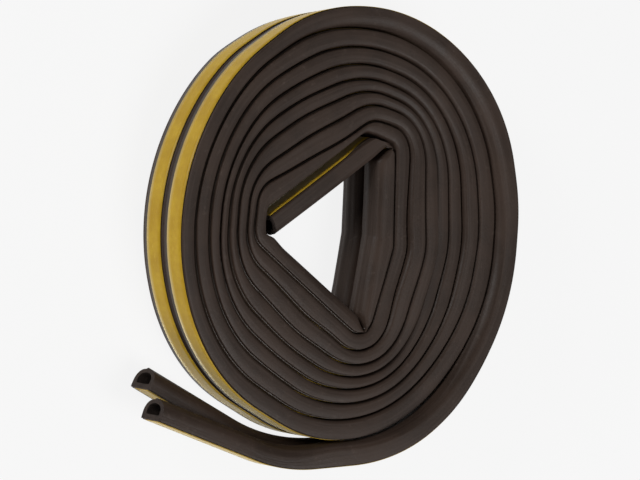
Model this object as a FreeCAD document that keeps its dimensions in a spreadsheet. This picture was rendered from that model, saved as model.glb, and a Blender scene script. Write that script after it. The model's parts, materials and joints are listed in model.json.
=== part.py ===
"""Coil of twin D-profile door seal: two sponge-rubber strips joined side by side, wound without a core.

The coil lies flat. Its winding axis is +Z, the back strip rests on z = 0 and the front strip lies on it.
Every strip, tape and liner is a ribbon: an outline in the XY plane, padded across the strip's width. The
outlines follow one winding line, which runs round a row of imaginary pulleys like a belt: straight runs
joined by tangent arcs. The pulleys sit at the corners of the folded core, and each turn they move inwards
and grow, so the sharp core opens out into a nearly round coil.
"""
import FreeCAD, Part
import math
import os

from FreeCAD import Vector

DRIVING_DIMENSIONS = {
    # one strip
    "strip_width": 8.9,        # across the base, along Z
    "strip_height": 6.8,       # rubber only, base to top of dome, uncompressed
    "dome_radius": 3.0,        # rounding of the dome's two long edges
    "wall_thickness": 1.6,     # round the hollow
    "hollow_width": 5.7,
    "tape_width": 7.0,
    "tape_thickness": 0.25,
    "liner_width": 6.0,
    "liner_thickness": 0.15,
    "web_width": 0.2,          # gap between the strips, which the tear web bridges
    "web_thickness": 1.0,
    # the coil
    "coil_centre_x": 3.66,     # puts the origin under the middle of the whole outline
    "coil_centre_y": 2.04,
    "corner_shrink": 0.111,    # share of its distance from the centre that a corner loses each turn
    "corner_floor": 0.2,       # least share that is left, in the round outer turns
    "radius_growth": 7.5,      # growth of the corner radius each turn
    "radius_start": -0.4,
    "fold_radius": 0.4,        # the sharpest fold, at the core
    "turn_gap": 0.2,           # between a dome and the liner of the turn inside it
    # the lead and the tails
    "lead_hinge_angle": -68.0,  # round the last corner, from +X, where the lead comes off the coil
    "tear_angle": -90.0,        # where the two strips are torn apart
    "front_tail_root": 14.5,    # straight, from the tear to its bend
    "front_tail_radius": 62.0,
    "front_tail_slope": 21.3,   # degrees, after its bend
    "front_tail_end": 41.0,     # straight, from its bend to its end
    "back_tail_root": 2.0,
    "back_tail_radius": 78.0,
    "back_tail_slope": 28.3,
    "back_tail_end": 37.3,
    "hinge_gap": 0.3,
    "tab_length": 12.0,
    "tab_gap": 0.1,
}

# Corners of the folded core, where the first turn folds, clockwise from the left.
CORE_CORNERS = [
    Vector(-36.5, 3.0, 0),     # left, lower
    Vector(-35.5, 11.0, 0),    # left, upper
    Vector(9.0, 27.5, 0),      # top
    Vector(16.0, 24.5, 0),     # top right
    Vector(14.8, -5.8, 0),     # right
    Vector(5.0, -28.4, 0),     # bottom
]
CORNER_STATIONS = [0.0, 0.08, 0.30, 0.38, 0.58, 0.82]   # part of a turn at which each corner is reached
TURNS = 9

# The free inner end and the hole, which the domes of the first turn surround.
FREE_END = Vector(-33.0, 5.9, 0)
HOLE_TOP = Vector(10.4, 21.2, 0)
HOLE_RIGHT = Vector(10.3, -2.0, 0)
HOLE_BOTTOM = Vector(5.8, -25.6, 0)
HOLE_LEFT = Vector(-30.3, -0.9, 0)
LEFT_POCKET_LOW = Vector(-34.3, 0.3, 0)
LEFT_POCKET_HIGH = Vector(-34.3, 8.2, 0)

doc = FreeCAD.newDocument("seal_coil")


def make_sheet():
    sheet = doc.addObject("Spreadsheet::Sheet", "dims")
    sheet.Label = "dims"
    for row, (alias, value) in enumerate(DRIVING_DIMENSIONS.items(), start=1):
        sheet.set(f"A{row}", alias)
        sheet.set(f"B{row}", str(value))
        sheet.setAlias(f"B{row}", alias)
    doc.recompute()
    return sheet


dims = make_sheet()


def size(alias):
    return float(dims.get(alias))


# Distances of each layer's faces inwards from the winding line, which is the liner's outer face.
LINER_INNER = size("liner_thickness")
BASE = LINER_INNER + size("tape_thickness")
DOME = BASE + size("strip_height")
HALF_HEIGHT = size("strip_height") / 2
MID_HEIGHT = BASE + HALF_HEIGHT
ROOT_RADIUS = HALF_HEIGHT + 0.05        # a link's rounded root, just proud of half the strip's height
END_GAP = ROOT_RADIUS + size("hinge_gap")


class Pulley:
    """A circle that the winding line passes round, clockwise as seen from above."""

    def __init__(self, centre, radius):
        self.centre = centre
        self.radius = radius


class Run:
    """The straight run of the winding line between two pulleys."""

    def __init__(self, first, second):
        span = second.centre - first.centre
        along = Vector(span).normalize()
        left = Vector(-along.y, along.x, 0)
        lean = (first.radius - second.radius) / span.Length
        self.outward = along * lean + left * math.sqrt(1 - lean * lean)
        self.along = Vector(self.outward.y, -self.outward.x, 0)
        self.start = first.centre + self.outward * first.radius
        self.end = second.centre + self.outward * second.radius

    def point(self, distance, inward=0.0):
        """The point so far along the run from its start, and so far inside the winding line."""
        return self.start + self.along * distance - self.outward * inward

    def length(self):
        return (self.end - self.start).Length


def angle_of(direction):
    return math.atan2(direction.y, direction.x)


def line(start, end):
    return Part.LineSegment(start, end)


def arc(centre, radius, from_direction, to_direction):
    """Clockwise arc between two directions from its centre."""
    high = angle_of(from_direction)
    low = angle_of(to_direction)
    if low > high:
        high += 2 * math.pi
    return Part.ArcOfCircle(Part.Circle(centre, Vector(0, 0, 1), radius), low, high)


def first_point(path):
    """Where a path begins. A clockwise arc is stored the other way round, so its ends are swapped."""
    piece = path[0]
    return piece.EndPoint if isinstance(piece, Part.ArcOfCircle) else piece.StartPoint


def last_point(path):
    piece = path[-1]
    return piece.StartPoint if isinstance(piece, Part.ArcOfCircle) else piece.EndPoint


def coil_pulleys():
    pulleys = []
    for turn in range(TURNS):
        for corner, station in zip(CORE_CORNERS, CORNER_STATIONS):
            turns = turn + station
            share = max(size("corner_floor"), 1 - size("corner_shrink") * turns)
            radius = max(size("fold_radius"), size("radius_start") + size("radius_growth") * turns)
            pulleys.append(Pulley(corner * share, radius))
    corners_before_free_end = 2
    return pulleys[corners_before_free_end:]


def belt(pulleys, runs, inward):
    """Geometry from the start of the first run to the end of the last: a run, an arc, a run and so on."""
    geometry = []
    for i, run in enumerate(runs):
        if i > 0:
            pulley = pulleys[i]
            geometry.append(arc(pulley.centre, pulley.radius - inward, runs[i - 1].outward, run.outward))
        geometry.append(line(run.point(0, inward), run.point(run.length(), inward)))
    return geometry


coil = coil_pulleys()
winding = [Pulley(FREE_END, 0)] + coil
coil_runs = [Run(first, second) for first, second in zip(winding, winding[1:])]
CORNERS_PER_TURN = len(CORE_CORNERS)


class LastArc:
    """The arc round the last corner, which holds the end of the coil, the lead's hinge and the tear."""

    def __init__(self):
        self.centre = coil[-1].centre
        self.radius = coil[-1].radius
        self.hinge_angle = math.radians(size("lead_hinge_angle"))
        self.tear_angle = math.radians(size("tear_angle"))

    def outward(self, angle, forward=0.0):
        """Direction from the centre, so far forward along the strip's middle from an angle."""
        turned = angle - forward / (self.radius - MID_HEIGHT)
        return Vector(math.cos(turned), math.sin(turned), 0)

    def point(self, outward, inward):
        return self.centre + outward * (self.radius - inward)

    def line(self, inward, start, end):
        return arc(self.centre, self.radius - inward, start, end)


last_arc = LastArc()
coil_end = last_arc.outward(last_arc.hinge_angle, -END_GAP)
lead_hinge = last_arc.outward(last_arc.hinge_angle)
tear = last_arc.outward(last_arc.tear_angle)
tear_along = Vector(tear.y, -tear.x, 0)


def coil_line(inward):
    """The winding line of the coil, from the free inner end to the cut where the lead is hinged."""
    return belt(winding, coil_runs, inward) + [last_arc.line(inward, coil_runs[-1].outward, coil_end)]


def lead_line(inward, start, end):
    """The winding line of the lead, from so far after its hinge to so far before the tear."""
    return [
        last_arc.line(
            inward,
            last_arc.outward(last_arc.hinge_angle, start),
            last_arc.outward(last_arc.tear_angle, -end),
        )
    ]


def ribbon(outer, inner):
    """Closed outline between two lines of geometry that start and end side by side."""
    start_cap = line(first_point(outer), first_point(inner))
    end_cap = line(last_point(outer), last_point(inner))
    return outer + inner + [start_cap, end_cap]


def coil_strip_outline():
    """The rubber: its base follows the winding line, and its dome fills the space to the turn inside."""
    base = coil_line(BASE)
    gap = size("turn_gap")
    inside = [Pulley(LEFT_POCKET_HIGH, -gap)] + coil[:-CORNERS_PER_TURN]
    runs = [Run(first, second) for first, second in zip(inside, inside[1:])]
    last = inside[-1]
    dome = belt(inside, runs, -gap)
    dome.append(arc(last.centre, last.radius + gap, runs[-1].outward, coil_end))
    corners = [
        first_point(base),
        coil_runs[0].point(0, DOME),
        HOLE_TOP,
        HOLE_RIGHT,
        HOLE_BOTTOM,
        HOLE_LEFT,
        LEFT_POCKET_LOW,
        first_point(dome),
    ]
    hole_side = [line(start, end) for start, end in zip(corners, corners[1:])]
    end_cap = line(last_point(dome), last_point(base))
    return base + hole_side + dome + [end_cap]


def root_arc(centre, outward):
    """Rounded root of a link, about its hinge: from the base round the back to the dome."""
    half_opening = math.asin(HALF_HEIGHT / ROOT_RADIUS)
    back = angle_of(Vector(outward.y, -outward.x, 0)) + math.pi
    circle = Part.Circle(centre, Vector(0, 0, 1), ROOT_RADIUS)
    return Part.ArcOfCircle(circle, back - half_opening, back + half_opening)


def closed_by(root, path_base, path_dome):
    """Outline of a link: base and dome lines, its rounded root and a square end."""
    base_start = first_point(path_base)
    root_ends = sorted([root.StartPoint, root.EndPoint], key=base_start.distanceToPoint)
    base_stub = line(root_ends[0], base_start)
    dome_stub = line(root_ends[1], first_point(path_dome))
    end_cap = line(last_point(path_base), last_point(path_dome))
    return [root, base_stub] + path_base + path_dome + [dome_stub, end_cap]


class Tail:
    """One torn-off end: straight from the tear, a bend towards the coil, then straight to its end."""

    def __init__(self, side):
        self.root = size(f"{side}_tail_root")
        self.radius = size(f"{side}_tail_radius")
        self.last = size(f"{side}_tail_end")
        slope = math.radians(size(f"{side}_tail_slope"))
        self.outward = Vector(-math.sin(slope), -math.cos(slope), 0)
        self.along = Vector(self.outward.y, -self.outward.x, 0)
        self.start = last_arc.point(tear, 0)
        self.centre = self.root_point(self.root, self.radius)
        self.bend_end = self.centre + self.outward * self.radius

    def root_point(self, distance, inward):
        return self.start + tear_along * distance - tear * inward

    def end_point(self, back, inward):
        """A point so far back from the square end, and so far inside the winding line."""
        return self.bend_end + self.along * (self.last - back) - self.outward * inward

    def whole_line(self, inward, start=1.0, back=0.0):
        bend_start = self.root_point(self.root, inward)
        bend_end = self.bend_end - self.outward * inward
        return [
            line(self.root_point(start, inward), bend_start),
            arc(self.centre, self.radius - inward, tear, self.outward),
            line(bend_end, self.end_point(back, inward)),
        ]


def body_with_pad(label, outline, low, width):
    """A PartDesign body: an outline in the XY plane, padded from one height by one width."""
    body = doc.addObject("PartDesign::Body", label)
    body.Label = label
    body.setExpression("Placement.Base.x", "dims.coil_centre_x")
    body.setExpression("Placement.Base.y", "dims.coil_centre_y")
    body.setExpression("Placement.Base.z", low)
    add_pad(body, outline, width)
    return body


def xy_plane(body):
    return next(feature for feature in body.Origin.OriginFeatures if feature.Role == "XY_Plane")


def add_sketch(body, outline, height="0"):
    sketch = body.newObject("Sketcher::SketchObject", f"{body.Label}_outline")
    sketch.AttachmentSupport = (xy_plane(body), [""])
    sketch.MapMode = "FlatFace"
    sketch.setExpression("AttachmentOffset.Base.z", height)
    sketch.addGeometry(outline, False)
    return sketch


def add_pad(body, outline, width):
    sketch = add_sketch(body, outline)
    pad = body.newObject("PartDesign::Pad", f"{body.Label}_pad")
    pad.Profile = sketch
    pad.setExpression("Length", width)
    return pad


def add_hollow(body, outline):
    """The hollow, as a slot through the strip from end to end, centred in its width."""
    sketch = add_sketch(body, outline, "(dims.strip_width - dims.hollow_width) / 2")
    pocket = body.newObject("PartDesign::Pocket", f"{body.Label}_hollow")
    pocket.Profile = sketch
    pocket.Reversed = True
    pocket.setExpression("Length", "dims.hollow_width")
    return pocket


def round_dome(body, dome_line):
    """Rounds the two long edges of the dome."""
    doc.recompute()
    solid = body.Tip
    middles = [piece.value((piece.FirstParameter + piece.LastParameter) / 2) for piece in dome_line]
    names = []
    for i, edge in enumerate(solid.Shape.Edges, start=1):
        middle = edge.valueAt((edge.FirstParameter + edge.LastParameter) / 2)
        flat = Vector(middle.x, middle.y, 0)
        if any(flat.distanceToPoint(point) < 0.01 for point in middles):
            if abs(edge.BoundBox.ZLength) < 0.01:
                names.append(f"Edge{i}")
    fillet = body.newObject("PartDesign::Fillet", f"{body.Label}_dome")
    fillet.Base = (solid, names)
    fillet.setExpression("Radius", "dims.dome_radius")
    return fillet


SIDES = {
    "back": "0",
    "front": "dims.strip_width + dims.web_width",
}
TAPE_MARGIN = "(dims.strip_width - dims.tape_width) / 2"
LINER_MARGIN = "(dims.strip_width - dims.liner_width) / 2"


def make_layers(length_name, side, low, base_line):
    """The adhesive tape and the release liner on one base, from a function of their distance inwards."""
    tape = ribbon(base_line(LINER_INNER), base_line(BASE))
    body_with_pad(f"{length_name}_adhesive_{side}", tape, f"{low} + {TAPE_MARGIN}", "dims.tape_width")
    liner = ribbon(base_line(0), base_line(LINER_INNER))
    body_with_pad(f"{length_name}_liner_{side}", liner, f"{low} + {LINER_MARGIN}", "dims.liner_width")


def make_web(length_name, base_line):
    """The thin skin between the two strips, at their bases."""
    outline = ribbon(base_line(BASE), base_line(BASE + size("web_thickness")))
    body_with_pad(f"{length_name}_tear_web", outline, "dims.strip_width", "dims.web_width")


def make_coil():
    for side, low in SIDES.items():
        body_with_pad(f"coil_seal_{side}", coil_strip_outline(), low, "dims.strip_width")
        make_layers("coil", side, low, coil_line)
    make_web("coil", coil_line)


def make_lead():
    stub = 1.0
    overrun = 5.0
    wall = size("wall_thickness")
    hinge = last_arc.point(lead_hinge, MID_HEIGHT)

    def base_line(inward):
        return lead_line(inward, stub, END_GAP)

    hollow = ribbon(
        lead_line(BASE + wall, -overrun, -overrun),
        lead_line(DOME - wall, -overrun, -overrun),
    )
    for side, low in SIDES.items():
        outline = closed_by(root_arc(hinge, lead_hinge), base_line(BASE), base_line(DOME))
        body = body_with_pad(f"lead_seal_{side}", outline, low, "dims.strip_width")
        round_dome(body, base_line(DOME))
        add_hollow(body, hollow)
        make_layers("lead", side, low, base_line)
    make_web("lead", base_line)


def make_tail(side):
    low = SIDES[side]
    name = f"{side}_tail"
    tail = Tail(side)
    hinge = tail.root_point(0, MID_HEIGHT)
    wall = size("wall_thickness")
    overrun = 5.0
    tab_back = size("tab_length")
    outline = closed_by(root_arc(hinge, tear), tail.whole_line(BASE), tail.whole_line(DOME))
    body = body_with_pad(f"{name}_seal", outline, low, "dims.strip_width")
    round_dome(body, tail.whole_line(DOME))
    hollow = ribbon(
        tail.whole_line(BASE + wall, -overrun, -overrun),
        tail.whole_line(DOME - wall, -overrun, -overrun),
    )
    add_hollow(body, hollow)
    tape = ribbon(tail.whole_line(LINER_INNER), tail.whole_line(BASE))
    body_with_pad(f"{name}_adhesive", tape, f"{low} + {TAPE_MARGIN}", "dims.tape_width")
    liner_end = tab_back + size("tab_gap")
    liner = ribbon(tail.whole_line(0, back=liner_end), tail.whole_line(LINER_INNER, back=liner_end))
    body_with_pad(f"{name}_liner", liner, f"{low} + {LINER_MARGIN}", "dims.liner_width")
    tab = ribbon(
        [line(tail.end_point(tab_back, 0), tail.end_point(0, 0))],
        [line(tail.end_point(tab_back, LINER_INNER), tail.end_point(0, LINER_INNER))],
    )
    body_with_pad(f"{name}_liner_tab", tab, f"{low} + {LINER_MARGIN}", "dims.liner_width")
    return tail


make_coil()
make_lead()
front_tail = make_tail("front")
back_tail = make_tail("back")
doc.recompute()


def check_document():
    for item in doc.Objects:
        if "Invalid" in item.State or "Error" in item.State:
            raise RuntimeError(f"{item.Label} failed: {item.State}")


def export_parts():
    os.makedirs("parts", exist_ok=True)
    box = FreeCAD.BoundBox()
    for body in doc.findObjects("PartDesign::Body"):
        shape = body.Shape
        if shape.isNull() or not shape.isValid():
            raise RuntimeError(f"{body.Label} has no valid shape")
        shape.exportStep(f"parts/{body.Label}.step")
        box.add(shape.optimalBoundingBox(True, False))
        print(f"{body.Label}: {shape.Volume:.1f} mm3, {len(shape.Solids)} solid, {len(shape.Faces)} faces")
    print(f"outline middle {box.Center}, size {box.XLength:.2f} x {box.YLength:.2f} x {box.ZLength:.2f}")


def print_places():
    """Hinge lines and bonding faces, in the part's own frame."""
    shift = Vector(size("coil_centre_x"), size("coil_centre_y"), 0)
    tab = size("tab_length")
    places = {
        "lead hinge": last_arc.point(lead_hinge, MID_HEIGHT) + shift,
        "tail hinge": last_arc.point(tear, MID_HEIGHT) + shift,
        "front liner tab hinge": front_tail.end_point(tab, 0) + shift,
        "back liner tab hinge": back_tail.end_point(tab, 0) + shift,
        "front bonding face": front_tail.end_point(2 * tab, 0) + shift,
        "back bonding face": back_tail.end_point(2 * tab, 0) + shift,
        "front bonding face normal": front_tail.outward,
        "back bonding face normal": back_tail.outward,
    }
    for name, place in places.items():
        print(f"{name}: {place.x:.6f}, {place.y:.6f}")
    length = sum(piece.length() for piece in coil_line(0))
    print(f"wound length {length:.0f} mm")


check_document()
export_parts()
print_places()
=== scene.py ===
"""Looks for the coil of twin D-profile door seal.

Every strip, tape and liner is a sweep: a section carried along the winding line. The winding line is the one
that the CAD part has, a belt round pulleys, and each section reaches from it to the turn inside, so the
rubber is squeezed where the coil squeezes it and stands at full height where it is free.
Lengths in this file are millimetres in the coil's own frame until a mesh is made in metres.
"""

import json
import math
from collections import namedtuple

import bpy
import numpy as np
from mathutils import Matrix, Vector


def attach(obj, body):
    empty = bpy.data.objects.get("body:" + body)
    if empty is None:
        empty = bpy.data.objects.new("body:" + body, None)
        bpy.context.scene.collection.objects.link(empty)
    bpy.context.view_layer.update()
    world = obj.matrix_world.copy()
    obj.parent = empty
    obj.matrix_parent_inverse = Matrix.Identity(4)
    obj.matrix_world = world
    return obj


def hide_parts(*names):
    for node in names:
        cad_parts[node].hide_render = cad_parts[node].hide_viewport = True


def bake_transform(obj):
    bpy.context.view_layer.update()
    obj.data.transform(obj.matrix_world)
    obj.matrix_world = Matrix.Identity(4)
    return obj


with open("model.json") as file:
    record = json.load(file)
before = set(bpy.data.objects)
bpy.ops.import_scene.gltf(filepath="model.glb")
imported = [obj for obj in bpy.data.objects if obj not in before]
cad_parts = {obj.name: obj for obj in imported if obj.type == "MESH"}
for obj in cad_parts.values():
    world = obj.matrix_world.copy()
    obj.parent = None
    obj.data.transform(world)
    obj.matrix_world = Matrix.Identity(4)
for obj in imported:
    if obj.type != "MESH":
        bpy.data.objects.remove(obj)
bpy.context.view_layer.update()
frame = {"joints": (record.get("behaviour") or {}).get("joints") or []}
MM = 0.001
HALF_PI = math.pi / 2

# ---------------------------------------------------------------- driving dimensions, as in the CAD part
STRIP_WIDTH = 8.9
STRIP_PITCH = 9.1              # from the back strip's side to the front strip's
FULL_WIDTH = STRIP_PITCH + STRIP_WIDTH
LINER_HALF = 3.05              # half widths of the liner, the tape and the tear web
TAPE_HALF = 3.5
WEB_HALF = 0.14
LINER_THICKNESS = 0.15
TAPE_TOP = 0.42                # a little inside the rubber, so no gap shows
WEB_TOP = 1.3
BASE_DEPTH = 0.4               # liner and tape, under the rubber's base
FREE_HEIGHT = 7.2              # of the whole strip where nothing squeezes it
TAIL_HEIGHT = 6.9              # the loose tails have relaxed a little flatter
STRETCH = 1.2                  # how much taller than free a strip may stand to meet the turn inside
WALL = 1.5                     # of rubber, round the hollow
TURN_GAP = 0.2                 # between a dome and the base of the turn inside it
# The winding line is a belt round pulleys, six to a turn: where they are at the core, and the share of a turn
# after which each is reached.
CORE_CORNERS = [(-36.5, 3.0), (-35.5, 11.0), (9.0, 27.5), (16.0, 24.5), (14.8, -5.8), (5.0, -28.4)]
CORNER_STATIONS = [0.0, 0.08, 0.30, 0.38, 0.58, 0.82]
CORNER_SHRINK = 0.111          # share of its distance from the middle that a corner loses each turn
CORNER_FLOOR = 0.2             # the least share that is left
RADIUS_START = -0.4            # a pulley's radius, and what it gains each turn
RADIUS_GROWTH = 7.5
FOLD_RADIUS = 0.4              # the sharpest fold, at the core
TURNS = 9
FREE_END = (-33.0, 5.9)        # where the winding starts
LEAD_HINGE_ANGLE = -68.0       # degrees round the last pulley, where the lead leaves the coil
TEAR_ANGLE = -90.0             # and where the lead is torn into two tails
# Each tail runs level from the tear, bends upwards, and runs straight to its end at a slope in degrees.
TAILS = {
    "front": {"root": 14.5, "radius": 62.0, "slope": 21.3, "end": 41.0},
    "back": {"root": 2.0, "radius": 78.0, "slope": 28.3, "end": 37.3},
}
TAB_LENGTH = 12.0              # of liner that can be picked up at each tail's end
TAIL_RELAX = (10, 25)          # how far along a tail it starts to relax, and over what length
LINER_SIDESTEP = 0.75          # each liner sits a little off the middle of its strip, towards +Z
WOUND_SIDESTEP = -1.35         # and the other way where it is wound over
BEND_HALF = 5.0                # half the length over which the rubber bends at a hinge
TAB_BEND = 2.5                 # and half the length over which a liner bends where it is peeled
TAB_OVERLAP = 1.2              # of the peeled end on the liner that stays
FREE_END_HOLLOW = 14.0         # how deep the hollow is seen at the coil's inner end
TAIL_HOLLOW = 30.0
RING_STEP = 1.3                # between sections, along the coil, the lead and the tails
LEAD_STEP = 0.9
TAIL_STEP = 1.0
ARC_STEP = math.radians(5)


def vec(x, y):
    return np.array([x, y], float)


def unit(angle):
    return vec(math.cos(angle), math.sin(angle))


# ---------------------------------------------------------------- the winding line
class Line:
    def __init__(self, start, end, outward):
        self.start, self.end, self.normal = start, end, outward
        self.length = np.linalg.norm(end - start)

    def point(self, share):
        return self.start + (self.end - self.start) * share

    def outward(self, share):
        return self.normal


class Arc:
    """Clockwise arc, between two outward directions."""

    def __init__(self, centre, radius, start, end):
        self.centre, self.radius = centre, radius
        self.start = math.atan2(start[1], start[0])
        self.sweep = (self.start - math.atan2(end[1], end[0])) % (2 * math.pi)
        self.length = max(self.radius * self.sweep, 0.05)

    def outward(self, share):
        return unit(self.start - self.sweep * share)

    def point(self, share):
        return self.centre + self.outward(share) * self.radius


class Chain:
    """Straight lines through a few points, run through at an even pace."""

    def __init__(self, *points):
        self.points = np.array(points, float)
        steps = np.linalg.norm(np.diff(self.points, axis=0), axis=1)
        self.marks = np.concatenate([[0], np.cumsum(steps)]) / steps.sum()

    def point(self, share):
        return vec(*[np.interp(share, self.marks, self.points[:, i]) for i in (0, 1)])


def coil_pulleys():
    """Centre and radius of every pulley, from the core outwards."""
    pulleys = []
    for turn in range(TURNS):
        for corner, station in zip(CORE_CORNERS, CORNER_STATIONS):
            turns = turn + station
            share = max(CORNER_FLOOR, 1 - CORNER_SHRINK * turns)
            radius = max(FOLD_RADIUS, RADIUS_START + RADIUS_GROWTH * turns)
            pulleys.append((vec(*corner) * share, radius))
    # The winding starts at the free end, which stands in for the first two corners.
    return [(vec(*FREE_END), 0.0)] + pulleys[2:]


def run_outward(first, second):
    """Outward direction of the belt between two pulleys."""
    span = second[0] - first[0]
    length = np.linalg.norm(span)
    along = span / length
    lean = (first[1] - second[1]) / length
    return along * lean + vec(-along[1], along[0]) * math.sqrt(1 - lean * lean)


pulleys = coil_pulleys()
last_centre, last_radius = pulleys[-1]


def before_hinge(angle):
    """Outward direction on the last arc, half a bend before the hinge at this angle."""
    return unit(math.radians(angle) + BEND_HALF / (last_radius - FREE_HEIGHT / 2))


def winding_pieces(end_direction):
    """Runs and arcs of the belt, up to this direction on the last pulley."""
    pieces = []
    for i, (first, second) in enumerate(zip(pulleys, pulleys[1:])):
        outward = run_outward(first, second)
        if i > 0:
            pieces.append(Arc(*first, before, outward))
        start = first[0] + outward * first[1]
        pieces.append(Line(start, second[0] + outward * second[1], outward))
        before = outward
    pieces.append(Arc(last_centre, last_radius, before, end_direction))
    return pieces


# Where the domes of the first turn lie: round the hole, and into the two folds.
HOLE_TOP = (10.2, 21.0)
TOP_CREASE = (17.0, 25.4)
HOLE_RIGHT = (10.3, -2.0)
HOLE_BOTTOM = (5.8, -25.6)
BOTTOM_CREASE = (7.6, -31.8)
HOLE_LEFT = (-30.3, -0.9)
POCKET_LOW = (-34.3, 0.3)
POCKET_MIDDLE = (-34.6, 4.0)
POCKET_HIGH = (-34.3, 8.0)
AFTER_TOP_CREASE = (17.1, 25.2)
HOLE_RIGHT_HIGH = (10.6, 10.0)
HOLE_RIGHT_LOW = (10.1, -3.0)
AFTER_BOTTOM_CREASE = (5.2, -25.9)
POCKET_ROOF = [(-20.0, 15.4), (-10.0, 20.8), (0.0, 26.3), (5.5, 29.6), (8.0, 30.2)]


def first_turn_domes(free_end_dome):
    """One line of domes for each run and corner of the first turn, in the order of the winding pieces."""
    right_of_top = (HOLE_TOP[0] + 0.5, HOLE_TOP[1] - 0.5)
    return [
        Chain(free_end_dome, HOLE_TOP),
        Chain(HOLE_TOP, TOP_CREASE),
        Chain(TOP_CREASE, AFTER_TOP_CREASE),
        Chain(AFTER_TOP_CREASE, right_of_top),
        Chain(right_of_top, HOLE_RIGHT_HIGH, HOLE_RIGHT),
        Chain(HOLE_RIGHT, HOLE_RIGHT_LOW),
        Chain(HOLE_RIGHT_LOW, HOLE_BOTTOM),
        Chain(HOLE_BOTTOM, BOTTOM_CREASE, AFTER_BOTTOM_CREASE),
        Chain(AFTER_BOTTOM_CREASE, HOLE_LEFT),
        Chain(HOLE_LEFT, POCKET_LOW),
        Chain(POCKET_LOW, POCKET_MIDDLE),
        Chain(POCKET_MIDDLE, POCKET_HIGH),
        Chain(POCKET_HIGH, *POCKET_ROOF),
    ]


class Path:
    """Sections along a stretch, each with a base point and a dome point.

    Each also has its lift along Z, its freedom (how round the dome's edges are), the lean of its base, and
    how far its liner sits off the middle.
    """

    def __init__(self, base, dome, start=0.0):
        self.base, self.dome = np.array(base), np.array(dome)
        steps = np.linalg.norm(np.diff(self.base, axis=0), axis=1)
        self.along = start + np.concatenate([[0], np.cumsum(steps)])
        self.lift = np.zeros(len(self.base))
        self.freedom = np.zeros(len(self.base))
        self.lean = np.zeros(len(self.base))
        self.sidestep = np.full(len(self.base), LINER_SIDESTEP)

    def part(self, keep):
        piece = Path(self.base[keep], self.dome[keep])
        for name in ("along", "lift", "freedom", "lean", "sidestep"):
            setattr(piece, name, getattr(self, name)[keep])
        return piece


def smoothed(points, rounds):
    """Points averaged with their neighbours, with the ends kept."""
    ends = 3
    result = points.copy()
    for _ in range(rounds):
        result[1:-1] = (result[:-2] + 2 * result[1:-1] + result[2:]) / 4
        result[:ends], result[-ends:] = points[:ends], points[-ends:]
    return result


def sample(pieces, domes):
    """Base and dome points along the winding pieces, at an even step."""
    base, dome = [], []
    for i, (piece, inner) in enumerate(zip(pieces, domes)):
        count = max(3, round(piece.length / RING_STEP))
        if isinstance(piece, Arc):
            count = max(count, round(piece.sweep / ARC_STEP))
        shares = np.linspace(0, 1, count, endpoint=i == len(pieces) - 1)
        base += [piece.point(share) for share in shares]
        dome += [inner(share) for share in shares]
    return base, dome


def over(piece):
    """The dome line just outside a piece of the turn inside."""
    return lambda share: piece.point(share) + piece.outward(share) * TURN_GAP


# Where the turns bulge out (or in, below zero) from the even winding line: how many millimetres, the turn and
# the direction in the middle of it, and how many turns and degrees it spreads either way.
Swell = namedtuple("Swell", "amount turn turns angle degrees")
SWELLS = [
    Swell(2.2, turn=6.9, turns=0.57, angle=159, degrees=60),
    Swell(-2.5, turn=1.4, turns=0.58, angle=98, degrees=59),
    Swell(2.4, turn=2.3, turns=1.4, angle=-69, degrees=45),
    Swell(-1.5, turn=1.4, turns=6.0, angle=-44, degrees=17),
    Swell(-1.8, turn=4.8, turns=2.2, angle=119, degrees=60),
    Swell(3.0, turn=4.3, turns=2.3, angle=118, degrees=17),
    Swell(2.0, turn=3.7, turns=1.8, angle=-129, degrees=23),
    Swell(3.2, turn=1.0, turns=1.4, angle=65, degrees=20),
    Swell(-2.2, turn=3.0, turns=2.4, angle=-104, degrees=21),
    Swell(1.9, turn=9.5, turns=1.4, angle=29, degrees=18),
    Swell(0.9, turn=7.6, turns=1.7, angle=110, degrees=17),
    Swell(0.7, turn=8.2, turns=0.5, angle=0, degrees=24),
]
# Ramps: the turn, or the degrees before the coil's end, where each starts or ends, and how long it is.
SWELLS_START = (0.9, 0.15)
SWELLS_END = (8.6, 0.07)
# How far each turn stands up towards +Z where it passes the right-hand side.
TURN_LIFTS = {3: 2.0, 4: 1.5, 5: 0.4, 6: 0.4, 7: 1.7, 8: 1.9}
RIGHT_SIDE = 0.44              # of a turn, from the free end to the right-hand side
LIFTED_SPREAD = 0.115          # of a turn, either way
# Small rises and falls of every turn: millimetres, angle run through each turn, and phase.
UNEVEN_WAVES = [(0.2, 6.3, 0.8), (0.15, 14.9, 0.0), (0.1, 3.3, 2.0)]
LAST_TURN_LIFT = 4.4           # the outermost turn, held up until the lead
LAST_TURN_RAMP = (188, 120)
# How much closer the last turn lies on the one inside it, round its top.
SEALED_GAP = 0.35
SEALED_TURN = 8.18
SEALED_SPREAD = 0.04
# How far the first corner is pressed in, away from the turn over it.
CORNER_DENT = 1.8
CORNER_TURN = 0.262
CORNER_SPREAD = 0.022
CORNER_DIRECTION = unit(math.radians(80))
TOP_LEAN = 0.15                # slope of the last turn's base at its top, inwards towards the back
TOP_LEAN_START = (192, 30)
TOP_LEAN_END = (70, 60)
SQUARED_FROM = 1.08            # turns, where each section starts to reach to the turn inside
LEAD_RAMP = (8.5, 0.12)        # where the last turn changes to the lead's section
WOUND_OVER_START = (0.17, 0.06)
WOUND_OVER_END = (7.75, 0.1)
FIRST_TURN_FREEDOM = 0.8       # how round the dome edges are, from squeezed 0 to free 1
FIRST_TURN_END = (0.97, 0.03)
LAST_TURN_FREE = (8.05, 0.2)
LEAD_FREEDOM = 0.4
LEAD_FALL = 66.0               # length over which the lead and the tails come down again


def smoothstep(value):
    share = np.clip(value, 0, 1)
    return share * share * (3 - 2 * share)


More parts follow.
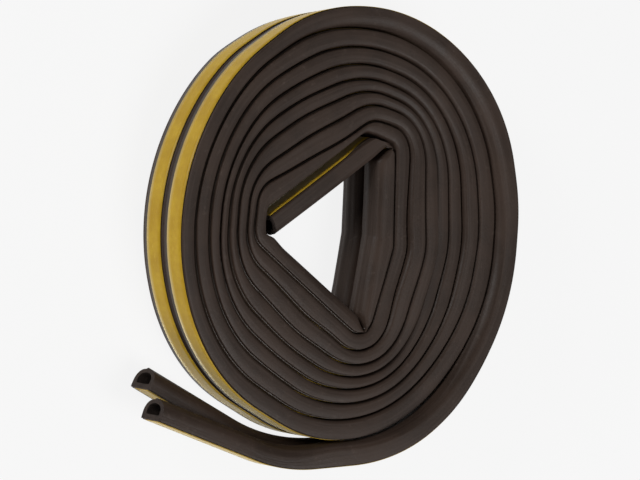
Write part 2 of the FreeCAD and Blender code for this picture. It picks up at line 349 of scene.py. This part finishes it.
def rising(value, start, span):
    """0 at the start and 1 a span after it."""
    return smoothstep((value - start) / span)


def falling(value, end, span):
    """1 a span before the end and 0 at it."""
    return smoothstep((end - value) / span)


def bell(value, middle, spread):
    return np.exp(-0.5 * ((value - middle) / spread) ** 2)


def angles_round(points):
    """Degrees round the last corner's centre, unwrapped, clockwise as the winding goes."""
    return np.degrees(np.unwrap(np.arctan2(points[:, 1] - last_centre[1], points[:, 0] - last_centre[0])))


def swollen(points, angles, turns):
    """Points moved outwards by the swells, which fade out in the first turn and before the lead."""
    amount = np.zeros(len(points))
    for swell in SWELLS:
        aside = (angles - swell.angle + 180) % 360 - 180
        amount += swell.amount * bell(turns, swell.turn, swell.turns) * bell(aside, 0, swell.degrees)
    amount *= rising(turns, *SWELLS_START)
    amount *= falling(turns, *SWELLS_END)
    directions = np.column_stack([np.cos(np.radians(angles)), np.sin(np.radians(angles))])
    return points + directions * amount[:, None]


def lift_profile(angles, turns):
    """Rise towards +Z: single turns at the right-hand side, and all of the last turn from its top onwards."""
    lift = sum(
        rise * bell(turns, turn - 1 + RIGHT_SIDE, LIFTED_SPREAD)
        for turn, rise in TURN_LIFTS.items()
    )
    last = falling(angles - angles[-1], *LAST_TURN_RAMP)
    uneven = sum(rise * np.sin(turns * pace + phase) for rise, pace, phase in UNEVEN_WAVES)
    return (lift + uneven) * (1 - last) + LAST_TURN_LIFT * last


def cross(first, second):
    return first[..., 0] * second[..., 1] - first[..., 1] * second[..., 0]


def squared(base, dome, first):
    """Dome points moved along the dome line, from this station on, to stand square above the base points."""
    reach = 45                 # stations either way in which the dome line is looked for
    lowest = 0.5
    parallel = 1e-9
    along = np.gradient(base, axis=0)
    along /= np.linalg.norm(along, axis=1)[:, None]
    inward = np.column_stack([along[:, 1], -along[:, 0]])
    edges = np.diff(dome, axis=0)
    heights = np.linalg.norm(dome - base, axis=1)
    for i in range(first, len(base)):
        near = slice(max(0, i - reach), min(len(edges), i + reach))
        away = dome[near] - base[i]
        slant = cross(inward[i], edges[near])
        slant[np.abs(slant) < parallel] = parallel
        height = cross(away, edges[near]) / slant
        share = cross(away, inward[i]) / slant
        hits = height[(share >= 0) & (share <= 1) & (height > lowest)]
        heights[i] = hits.min(initial=FREE_HEIGHT + STRETCH)
    for _ in range(3):
        heights[first + 1:-1] = (heights[first:-2] + 2 * heights[first + 1:-1] + heights[first + 2:]) / 4
    result = dome.copy()
    result[first:] = base[first:] + inward[first:] * heights[first:, None]
    return result


def coil_path():
    """Sections along the wound coil, from its free end to where the lead starts to bend."""
    end = before_hinge(LEAD_HINGE_ANGLE)
    pieces = winding_pieces(end)
    first = pieces[0]
    free_end_dome = first.start - first.normal * FREE_HEIGHT
    domes = [chain.point for chain in first_turn_domes(free_end_dome)]
    domes += [over(piece) for piece in pieces[1:]]
    base, dome = sample(pieces, domes)
    base, dome = smoothed(np.array(base), 2), smoothed(np.array(dome), 1)
    base_angles, dome_angles = angles_round(base), angles_round(dome)
    turns = (base_angles[0] - base_angles) / 360
    dome_turns = (base_angles[0] - dome_angles) / 360 - 1
    base = swollen(base, base_angles, turns)
    base -= CORNER_DIRECTION * (CORNER_DENT * bell(turns, CORNER_TURN, CORNER_SPREAD))[:, None]
    dome = swollen(dome, dome_angles, dome_turns)
    dome = squared(base, dome, int(np.searchsorted(turns, SQUARED_FROM)))
    inward = base - last_centre
    inward /= -np.linalg.norm(inward, axis=1)[:, None]
    dome += inward * (SEALED_GAP * bell(turns, SEALED_TURN, SEALED_SPREAD))[:, None]
    near_lead = rising(turns, *LEAD_RAMP)
    share = near_lead[:, None]
    dome = dome * (1 - share) + (base + inward * FREE_HEIGHT) * share
    dome[-1] = base[-1] - end * FREE_HEIGHT
    path = Path(base, dome)
    path.lift = lift_profile(base_angles, turns)
    left = base_angles - base_angles[-1]
    path.lean = TOP_LEAN * falling(left, *TOP_LEAN_START) * rising(left, *TOP_LEAN_END)
    wound_over = rising(turns, *WOUND_OVER_START) * falling(turns, *WOUND_OVER_END)
    path.sidestep = LINER_SIDESTEP + (WOUND_SIDESTEP - LINER_SIDESTEP) * wound_over
    path.freedom = FIRST_TURN_FREEDOM * falling(turns, *FIRST_TURN_END) + rising(turns, *LAST_TURN_FREE)
    path.freedom -= (1 - LEAD_FREEDOM) * near_lead
    return path


class Tail:
    """A loose tail's outer line: on from the lead, straight from the tear, a bend, then straight."""

    def __init__(self, side):
        facts = TAILS[side]
        slope = math.radians(facts["slope"])
        tear = unit(math.radians(TEAR_ANGLE))
        outward = vec(-math.sin(slope), -math.cos(slope))
        start = last_centre + tear * last_radius
        root_end = start + vec(-1, 0) * facts["root"]
        centre = root_end - tear * facts["radius"]
        bend_end = centre + outward * facts["radius"]
        self.along = vec(outward[1], -outward[0])
        self.pieces = [
            Arc(last_centre, last_radius, before_hinge(TEAR_ANGLE), tear),
            Line(start, root_end, tear),
            Arc(centre, facts["radius"], tear, outward),
            Line(bend_end, bend_end + self.along * facts["end"], outward),
        ]


def falling_lift(along):
    """The last turn's rise, which the lead and the tails lose again."""
    return LAST_TURN_LIFT * (1 - rising(along, coil.along[-1], LEAD_FALL))


def tail_path(side, along_start):
    """Sections along a tail, which relaxes to its own height after the tear."""
    tail = Tail(side)
    points, normals = [], []
    for i, piece in enumerate(tail.pieces):
        count = max(4, round(piece.length / TAIL_STEP))
        for share in np.linspace(0, 1, count, endpoint=i == len(tail.pieces) - 1):
            points.append(piece.point(share))
            normals.append(piece.outward(share))
    points, normals = np.array(points), np.array(normals)
    steps = np.linalg.norm(np.diff(points, axis=0), axis=1)
    along = np.concatenate([[0], np.cumsum(steps)])
    relax = rising(along, *TAIL_RELAX)
    height = FREE_HEIGHT + (TAIL_HEIGHT - FREE_HEIGHT) * relax
    sink = (FREE_HEIGHT - height) / 2
    path = Path(points - normals * sink[:, None], points - normals * (sink + height)[:, None], along_start)
    path.freedom = LEAD_FREEDOM + (1 - LEAD_FREEDOM) * relax
    path.lift = falling_lift(path.along)
    return path, tail


def lead_path(along_start):
    """Sections along the lead, which carries on the coil's last arc."""
    piece = Arc(last_centre, last_radius, before_hinge(LEAD_HINGE_ANGLE), before_hinge(TEAR_ANGLE))
    shares = np.linspace(0, 1, round(piece.length / LEAD_STEP))
    base = [piece.point(share) for share in shares]
    dome = [piece.point(share) - piece.outward(share) * FREE_HEIGHT for share in shares]
    path = Path(base, dome, along_start)
    path.lift = falling_lift(path.along)
    path.freedom = np.full(len(path.base), LEAD_FREEDOM)
    return path


# ---------------------------------------------------------------- sections
def corner_arc(z_centre, y_centre, z_radius, y_radius, start, end, count):
    """Points round a corner, across the strip and up from its base."""
    angles = np.linspace(start, end, count)
    return [(z_centre + z_radius * math.cos(a), y_centre + y_radius * math.sin(a)) for a in angles]


def d_section(height, freedom, inset=0.0):
    """Closed D outline, (across, up from the base), base at 0. Points keep their places along every strip.

    The crown is how much the dome's top is arched, the foot rounds the base's edges, and the bulge is how far
    the sides swell where the strip is squeezed. An inset gives the outline of the hollow.
    """
    half = STRIP_WIDTH / 2 - inset
    low, high = inset, height - inset
    crown = (0.12 + 0.3 * freedom) * (1 if inset == 0 else 0.3)
    z_round = (1.3 + 2.3 * freedom) * half / (STRIP_WIDTH / 2)
    y_round = min(1.2 + 2.8 * freedom - 0.4 * inset, 0.62 * (high - low))
    foot = min(0.22, 0.2 * (high - low)) * (1 if inset == 0 else 2.8)
    bulge = 0.16 * (1 - freedom) if inset == 0 else 0.0
    flat = half - z_round
    wall_top = high - crown - y_round
    right = corner_arc(half - foot, low + foot, foot, foot, -HALF_PI, 0, 4)
    for share in (0.12, 0.5, 0.88):
        swell = bulge * math.sin(math.pi * share)
        right.append((half + swell, low + foot + (wall_top - low - foot) * share))
    right += corner_arc(flat, wall_top, z_round, y_round, 0, HALF_PI, 9)
    top = [(flat * share, high - crown * share * share) for share in (0.7, 0.35, 0.0)]
    left = [(-z, y) for z, y in reversed(right + top[:-1])]
    bottom = [(-(half - foot) * share, low) for share in (0.92, 0.4, 0.0, -0.4, -0.92)]
    return np.array(right + top + left + bottom)


def box_section(half_width, low, high):
    """Closed flat outline, in the same sense as the D's."""
    across = np.linspace(-half_width, half_width, 5)
    return np.array([(z, high) for z in across[::-1]] + [(z, low) for z in across])


# ---------------------------------------------------------------- meshes
hinges = {joint["name"]: np.array(joint["pos_m"][:2]) / MM for joint in frame["joints"]}
# The tails' hinge is straight below the last corner, this far in from the outside of the strip.
HINGE_DEPTH = 3.8
tear_direction = unit(math.radians(TEAR_ANGLE))
origin = hinges["front_tail_flex"] - last_centre - tear_direction * (last_radius - HINGE_DEPTH)
# Cut faces do not use their place along the strip, so a small patch does for each.
CAP_UV = [(0, 0), (0.001, 0), (0.001, 0.001), (0, 0.001)]
FAN_UV = [(0, 0), (0.001, 0), (0, 0.001)]


def place(flat_points, z):
    """Points in the row frame, in metres."""
    return np.column_stack([(flat_points + origin) * MM, np.asarray(z) * MM])


def rings_along(path, z_middle, section_at):
    """A ring of points for each station of a path, from the section that a station and its height give."""
    rings = []
    for i in range(len(path.base)):
        reach = path.dome[i] - path.base[i]
        height = np.linalg.norm(reach)
        inward = reach / height
        section = section_at(i, height)
        z = z_middle + section[:, 0]
        leaned = path.lean[i] * (FULL_WIDTH - z) * (1 - np.clip(section[:, 1] / height, 0, 1))
        flat = path.base[i] + (section[:, 1] + leaned)[:, None] * inward
        rings.append(place(flat, z + path.lift[i]))
    return rings


class MeshMaker:
    """Collects rings, joins them into tubes, and closes their ends."""

    def __init__(self):
        self.points, self.faces, self.uvs, self.slots = [], [], [], []

    def add_points(self, points):
        start = len(self.points)
        self.points.extend(map(tuple, points))
        return start

    def tube(self, rings, along, slot=0, inside=False):
        count = len(rings[0])
        starts = [self.add_points(ring) for ring in rings]
        girth = np.concatenate([[0], np.cumsum(np.linalg.norm(np.diff(rings[0], axis=0), axis=1))])
        closing = girth[-1] + np.linalg.norm(rings[0][0] - rings[0][-1])
        girth = np.append(girth, closing)
        for i in range(len(rings) - 1):
            for k in range(count):
                m = (k + 1) % count
                corners = [starts[i] + k, starts[i] + m, starts[i + 1] + m, starts[i + 1] + k]
                uv = [
                    (along[i] * MM, girth[k]),
                    (along[i] * MM, girth[k + 1]),
                    (along[i + 1] * MM, girth[k + 1]),
                    (along[i + 1] * MM, girth[k]),
                ]
                if inside:
                    corners.reverse()
                    uv.reverse()
                self.faces.append(corners)
                self.uvs.append(uv)
                self.slots.append(slot)

    def cap(self, ring, facing_back, slot=0):
        """A fan over a ring."""
        start = self.add_points(ring)
        middle = self.add_points([np.mean(ring, axis=0)])
        count = len(ring)
        for k in range(count):
            corners = [start + k, start + (k + 1) % count, middle]
            if facing_back:
                corners.reverse()
            self.faces.append(corners)
            self.uvs.append(FAN_UV)
            self.slots.append(slot)

    def annulus(self, outer, inner, facing_back, slot):
        """The cut face of a hollow strip, between two rings."""
        outer_start, inner_start = self.add_points(outer), self.add_points(inner)
        count = len(outer)
        for k in range(count):
            m = (k + 1) % count
            corners = [outer_start + k, outer_start + m, inner_start + m, inner_start + k]
            if facing_back:
                corners.reverse()
            self.faces.append(corners)
            self.uvs.append(CAP_UV)
            self.slots.append(slot)

    def make(self, name, materials):
        mesh = bpy.data.meshes.new(name)
        mesh.from_pydata(self.points, [], self.faces)
        layer = mesh.uv_layers.new(name="along_and_round")
        flat = [value for face in self.uvs for corner in face for value in corner]
        layer.data.foreach_set("uv", flat)
        for material in materials:
            mesh.materials.append(material)
        mesh.polygons.foreach_set("material_index", self.slots)
        mesh.polygons.foreach_set("use_smooth", [True] * len(self.faces))
        mesh.validate()
        mesh.update()
        piece = bpy.data.objects.new(name, mesh)
        bpy.context.scene.collection.objects.link(piece)
        return piece


def strip_mesh(name, path, z_middle, materials, open_start=0.0, open_end=0.0):
    """One rubber strip. An open end shows its hollow, so deep; any other end is closed flat."""
    maker = MeshMaker()
    above_tape = np.array([0, BASE_DEPTH])

    def outer(i, height):
        return d_section(height - BASE_DEPTH, path.freedom[i]) + above_tape

    def hollow(i, height):
        return d_section(height - BASE_DEPTH, path.freedom[i], WALL) + above_tape

    rings = rings_along(path, z_middle, outer)
    maker.tube(rings, path.along)
    travelled = path.along - path.along[0]
    for back, reach in ((True, open_start), (False, open_end)):
        end = 0 if back else -1
        if reach == 0:
            maker.cap(rings[end], back, 1)
            continue
        distance = travelled if back else travelled[-1] - travelled
        keep = distance <= reach
        inner_path = path.part(keep)
        inner = rings_along(inner_path, z_middle, hollow)
        maker.tube(inner, inner_path.along, 1, inside=True)
        maker.annulus(rings[end], inner[end], back, 1)
        maker.cap(inner[-1 if back else 0], back, 1)
    return maker.make(name, materials)


def ribbon_mesh(name, path, z_middle, half_width, low, high, material, sidestep=0):
    """A flat layer between two depths, moved across by a share of the path's sidestep."""
    maker = MeshMaker()
    flat = box_section(half_width, low, high)

    def moved(i, height):
        return flat + np.array([path.sidestep[i] * sidestep, 0])

    rings = rings_along(path, z_middle, moved)
    maker.tube(rings, path.along)
    maker.cap(rings[0], True)
    maker.cap(rings[-1], False)
    return maker.make(name, [material])


# ---------------------------------------------------------------- materials
def srgb(red, green, blue):
    """Linear colour from the 0 to 255 values that a picture of it would have."""
    channels = [value / 255 for value in (red, green, blue)]
    linear = [c / 12.92 if c <= 0.04045 else ((c + 0.055) / 1.055) ** 2.4 for c in channels]
    return (*linear, 1.0)


# Stands for every material where its nodes aren't read.
PLAIN_COLOUR = (0.1, 0.1, 0.1, 1)


class Look:
    """A node material being put together."""

    def __init__(self, name):
        self.material = bpy.data.materials.new(name)
        self.material.use_nodes = True
        self.tree = self.material.node_tree
        self.shader = next(n for n in self.tree.nodes if n.type == "BSDF_PRINCIPLED")
        self.place = self.add("ShaderNodeTexCoord")
        self.material.diffuse_color = PLAIN_COLOUR

    def add(self, kind, **settings):
        node = self.tree.nodes.new(kind)
        for key, value in settings.items():
            setattr(node, key, value)
        return node

    def join(self, output, socket):
        self.tree.links.new(output, socket)

    def stretched(self, along, across):
        """Coordinates that run along the strip and round it, in these many units a metre."""
        mapping = self.add("ShaderNodeMapping")
        mapping.inputs["Scale"].default_value = (along, across, 1)
        self.join(self.place.outputs["UV"], mapping.inputs["Vector"])
        return mapping.outputs["Vector"]

    def noise(self, scale, detail=3.0, roughness=0.55, where=None, offset=0.0):
        node = self.add("ShaderNodeTexNoise")
        node.inputs["Scale"].default_value = scale
        node.inputs["Detail"].default_value = detail
        node.inputs["Roughness"].default_value = roughness
        source = self.place.outputs["Object"] if where is None else where
        if offset:
            mapping = self.add("ShaderNodeMapping")
            mapping.inputs["Location"].default_value = (offset, offset * 0.7, offset * 1.3)
            self.join(source, mapping.inputs["Vector"])
            source = mapping.outputs["Vector"]
        self.join(source, node.inputs["Vector"])
        return node.outputs["Fac"]

    def cells(self, scale):
        node = self.add("ShaderNodeTexVoronoi")
        node.inputs["Scale"].default_value = scale
        self.join(self.place.outputs["Object"], node.inputs["Vector"])
        return node.outputs["Distance"]

    def ranged(self, value, low, high, to_low, to_high):
        """A value from one range, eased into another."""
        node = self.add("ShaderNodeMapRange", interpolation_type="SMOOTHSTEP")
        node.inputs["From Min"].default_value = low
        node.inputs["From Max"].default_value = high
        node.inputs["To Min"].default_value = to_low
        node.inputs["To Max"].default_value = to_high
        self.join(value, node.inputs["Value"])
        return node.outputs["Result"]

    def colours(self, amount, first, second):
        """From one colour, or another mix, to a second, by an amount."""
        node = self.add("ShaderNodeMix", data_type="RGBA")
        self.join(amount, node.inputs["Factor"])
        for socket, colour in ((node.inputs[6], first), (node.inputs[7], second)):
            if isinstance(colour, tuple):
                socket.default_value = colour
            else:
                self.join(colour, socket)
        return node.outputs[2]

    def total(self, *values):
        result = values[0]
        for value in values[1:]:
            node = self.add("ShaderNodeMath", operation="ADD")
            self.join(result, node.inputs[0])
            self.join(value, node.inputs[1])
            result = node.outputs[0]
        return result

    def bumps(self, *layers):
        """Bump layers, each a height, its strength and its depth in metres."""
        normal = None
        for height, strength, depth in layers:
            node = self.add("ShaderNodeBump")
            node.inputs["Strength"].default_value = strength
            node.inputs["Distance"].default_value = depth
            self.join(height, node.inputs["Height"])
            if normal is not None:
                self.join(normal, node.inputs["Normal"])
            normal = node.outputs["Normal"]
        self.join(normal, self.shader.inputs["Normal"])

    def finish(self, colour, roughness, **sockets):
        """The material, with uniform values for other sockets of its shader."""
        self.join(colour, self.shader.inputs["Base Color"])
        self.join(roughness, self.shader.inputs["Roughness"])
        for name, value in sockets.items():
            self.shader.inputs[name.replace("_", " ")].default_value = value
        return self.material


def sponge_rubber():
    """Extruded closed-cell rubber: a smooth matt skin with faint lines along it and a fine grain."""
    look = Look("sponge_rubber_skin")
    clouds = look.noise(55, 4)
    grain = look.noise(1500, 3, 0.6)
    lines = look.noise(1, 2, 0.5, look.stretched(25, 1400))
    waves = look.noise(1, 2, 0.5, look.stretched(90, 420))
    dust = look.noise(420, 5, 0.7, offset=0.3)
    colour = look.colours(look.ranged(clouds, 0.35, 0.65, 0, 1), srgb(42, 32, 26), srgb(51, 39, 32))
    colour = look.colours(look.ranged(lines, 0.40, 0.75, 0, 0.40), colour, srgb(64, 53, 47))
    colour = look.colours(look.ranged(dust, 0.58, 0.75, 0, 0.40), colour, srgb(80, 68, 61))
    colour = look.colours(look.ranged(grain, 0.30, 0.42, 0.35, 0), colour, srgb(24, 18, 16))
    rough = look.ranged(look.total(clouds, grain), 0.7, 1.3, 0.46, 0.60)
    look.bumps((waves, 0.30, 0.0003), (lines, 0.25, 0.00012), (grain, 0.40, 0.00014))
    return look.finish(colour, rough, Specular_IOR_Level=0.20)


def cut_sponge():
    """A knife-cut face of the same rubber: open pore cells on a dull ground, darkened inside with painted
    shade.
    """
    look = Look("sponge_rubber_cut")
    pore_pits_and_shade = look.cells(2600)
    small = look.cells(6000)
    clouds = look.noise(500, 4)
    colour = look.colours(look.ranged(clouds, 0.3, 0.7, 0, 1), srgb(40, 32, 28), srgb(54, 45, 40))
    # Painted shade: the colour goes towards near black inside each pore, where shade falls in the open cells.
    colour = look.colours(look.ranged(pore_pits_and_shade, 0.1, 0.35, 0.8, 0), colour, srgb(16, 12, 10))
    rough = look.ranged(clouds, 0.3, 0.7, 0.78, 0.92)
    look.bumps((pore_pits_and_shade, 0.7, 0.0003), (small, 0.4, 0.0001))
    return look.finish(colour, rough, Specular_IOR_Level=0.2)


def release_liner():
    """Golden waxed paper: fibres, faint mottling and a soft gloss."""
    look = Look("release_liner_paper")
    clouds = look.noise(140, 4)
    mottle = look.noise(700, 4, 0.65)
    fibres = look.noise(1, 4, 0.7, look.stretched(380, 1500))
    creases = look.noise(1, 2, 0.5, look.stretched(160, 30))
    colour = look.colours(look.ranged(clouds, 0.3, 0.7, 0, 1), srgb(149, 118, 24), srgb(164, 134, 34))
    colour = look.colours(look.ranged(mottle, 0.35, 0.65, 0.35, 0), colour, srgb(146, 112, 26))
    colour = look.colours(look.ranged(fibres, 0.55, 0.75, 0, 0.35), colour, srgb(200, 168, 84))
    rough = look.ranged(look.total(fibres, clouds), 0.7, 1.3, 0.40, 0.56)
    look.bumps((creases, 0.2, 0.0003), (fibres, 0.2, 0.0001), (mottle, 0.2, 0.0001))
    return look.finish(
        colour,
        rough,
        Specular_IOR_Level=0.25,
        IOR=1.25,
        Coat_Weight=0.1,
        Coat_Roughness=0.25,
        Sheen_Weight=0.5,
        Sheen_Roughness=0.4,
        Sheen_Tint=srgb(250, 238, 196),
    )


def adhesive_film():
    """Clear acrylic adhesive over dark rubber: like wet rubber, with the pale threads of its scrim."""
    look = Look("adhesive_film")
    clouds = look.noise(300, 4)
    scrim = look.noise(1, 3, 0.6, look.stretched(500, 2200))
    colour = look.colours(look.ranged(clouds, 0.3, 0.7, 0, 1), srgb(44, 34, 27), srgb(54, 43, 34))
    colour = look.colours(look.ranged(scrim, 0.55, 0.75, 0, 0.3), colour, srgb(96, 86, 72))
    rough = look.ranged(scrim, 0.3, 0.7, 0.30, 0.45)
    look.bumps((scrim, 0.3, 0.0001))
    return look.finish(colour, rough, Specular_IOR_Level=0.45)


rubber = sponge_rubber()
cut_rubber = cut_sponge()
liner_paper = release_liner()
adhesive = adhesive_film()

# ---------------------------------------------------------------- the pieces
BACK_MIDDLE = STRIP_WIDTH / 2
FRONT_MIDDLE = BACK_MIDDLE + STRIP_PITCH
WEB_MIDDLE = (BACK_MIDDLE + FRONT_MIDDLE) / 2


def liner_mesh(name, path, z_middle):
    return ribbon_mesh(name, path, z_middle, LINER_HALF, 0.0, LINER_THICKNESS, liner_paper, 1)


def layer_set(prefix, path, z_middle, z_side, open_start=0.0, open_end=0.0, liner_share=None):
    """Rubber, adhesive and liner of one strip along one path, or the liner along a share of it."""
    names = [f"{prefix}{part}{z_side}" for part in ("_seal", "_adhesive", "_liner")]
    strip = strip_mesh(f"{names[0]}_rubber", path, z_middle, [rubber, cut_rubber], open_start, open_end)
    tape = ribbon_mesh(
        f"{names[1]}_film", path, z_middle, TAPE_HALF, LINER_THICKNESS, TAPE_TOP, adhesive
    )
    liner_path = path if liner_share is None else path.part(liner_share)
    liner = liner_mesh(f"{names[2]}_paper", liner_path, z_middle)
    for piece, node, slot in zip((strip, tape, liner), names, ("sponge_rubber", "adhesive", "release_liner")):
        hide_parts(node)
    return [strip, tape, liner]


def web_piece(prefix, path):
    web = ribbon_mesh(
        f"{prefix}_tear_web_rubber", path, WEB_MIDDLE, WEB_HALF, TAPE_TOP, WEB_TOP, cut_rubber
    )
    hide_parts(f"{prefix}_tear_web")
    return web


coil = coil_path()
coil_pieces = layer_set("coil", coil, BACK_MIDDLE, "_back", open_start=FREE_END_HOLLOW)
coil_pieces += layer_set("coil", coil, FRONT_MIDDLE, "_front", open_start=FREE_END_HOLLOW)
coil_pieces.append(web_piece("coil", coil))
for piece in coil_pieces:
    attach(piece, "coil")

lead = lead_path(coil.along[-1])
lead_pieces = layer_set("lead", lead, BACK_MIDDLE, "_back")
lead_pieces += layer_set("lead", lead, FRONT_MIDDLE, "_front")
lead_pieces.append(web_piece("lead", lead))
for piece in lead_pieces:
    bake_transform(piece)

for side, z_middle in (("front", FRONT_MIDDLE), ("back", BACK_MIDDLE)):
    path, tail = tail_path(side, lead.along[-1])
    body = f"{side}_tail"
    left = path.along[-1] - path.along
    under_liner = left >= TAB_LENGTH + TAB_BEND
    peeled = left <= TAB_LENGTH + TAB_BEND + TAB_OVERLAP
    pieces = layer_set(body, path, z_middle, "", open_end=TAIL_HOLLOW, liner_share=under_liner)
    for piece in pieces:
        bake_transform(piece)
    tab = liner_mesh(f"{body}_liner_tab_paper", path.part(peeled), z_middle)
    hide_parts(f"{body}_liner_tab")
    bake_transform(tab)

# ---------------------------------------------------------------- floor, light and camera
FLOOR_HALF = 3.0
FLOOR_DROP = 0.8 * MM          # the turns dip a little below the coil's back face
floor_mesh = bpy.data.meshes.new("floor")
floor_corners = [(x * FLOOR_HALF, y * FLOOR_HALF, 0) for x, y in ((-1, -1), (1, -1), (1, 1), (-1, 1))]
floor_mesh.from_pydata(floor_corners, [], [(0, 1, 2, 3)])
floor = bpy.data.objects.new("floor", floor_mesh)
bpy.context.scene.collection.objects.link(floor)
floor.location.z = -FLOOR_DROP
floor_look = Look("floor_paper")
floor_clouds = floor_look.ranged(floor_look.noise(3, 2), 0.3, 0.7, 0, 1)
tone = floor_look.colours(floor_clouds, srgb(70, 70, 70), srgb(74, 74, 74))
floor_rough = floor_look.ranged(floor_look.noise(40, 3), 0.3, 0.7, 0.85, 0.95)
floor_mesh.materials.append(floor_look.finish(tone, floor_rough, Specular_IOR_Level=0.1))
floor_look.shader.inputs["Emission Color"].default_value = srgb(250, 250, 250)
floor_look.shader.inputs["Emission Strength"].default_value = 0.90

world = bpy.data.worlds.new("studio")
bpy.context.scene.world = world
world.use_nodes = True
world.node_tree.nodes["Background"].inputs["Color"].default_value = (1, 1, 1, 1)
world.node_tree.nodes["Background"].inputs["Strength"].default_value = 0.16

coil_middle = Vector((*(origin * MM), FULL_WIDTH / 2 * MM))


def area_light(name, direction, distance, size, energy):
    """A round soft light that faces the coil from one direction."""
    data = bpy.data.lights.new(name, "AREA")
    data.shape = "DISK"
    data.size = size
    data.energy = energy
    light = bpy.data.objects.new(name, data)
    bpy.context.scene.collection.objects.link(light)
    toward = Vector(direction).normalized()
    light.location = coil_middle + toward * distance
    light.rotation_mode = "QUATERNION"
    light.rotation_quaternion = (-toward).to_track_quat("-Z", "Y")


area_light("key", direction=(-0.87, 0.5, 0.30), distance=1.3, size=0.45, energy=12)
area_light("fill", direction=(0.35, -0.6, 1.0), distance=1.2, size=0.8, energy=11)
area_light("low", direction=(-0.5, -0.85, 0.16), distance=1.2, size=0.3, energy=3)

VIEW_AZIMUTH = math.radians(43.0)
VIEW_ELEVATION = math.radians(5.0)
VIEW_ROLL = math.radians(1.2)
VIEW_DISTANCE = 1.0
LENS = 185.625                 # millimetres, on a sensor 36 wide
LENS_SHIFT = -0.01875          # share of the picture's width, both across and up
back = Vector((
    -math.sin(VIEW_AZIMUTH) * math.cos(VIEW_ELEVATION),
    math.sin(VIEW_ELEVATION),
    math.cos(VIEW_AZIMUTH) * math.cos(VIEW_ELEVATION),
))
level = Vector((math.cos(VIEW_AZIMUTH), 0, math.sin(VIEW_AZIMUTH)))
upright = back.cross(level)
right = level * math.cos(VIEW_ROLL) + upright * math.sin(VIEW_ROLL)
up = upright * math.cos(VIEW_ROLL) - level * math.sin(VIEW_ROLL)
camera_data = bpy.data.cameras.new("camera")
camera_data.sensor_width = 36
camera_data.lens = LENS
camera_data.shift_x = LENS_SHIFT
camera_data.shift_y = LENS_SHIFT
camera = bpy.data.objects.new("camera", camera_data)
bpy.context.scene.collection.objects.link(camera)
axes = Matrix((right, up, back)).transposed()
camera.matrix_world = Matrix.Translation(coil_middle + back * VIEW_DISTANCE) @ axes.to_4x4()
bpy.context.scene.camera = camera
bpy.context.scene.view_settings.view_transform = "Standard"
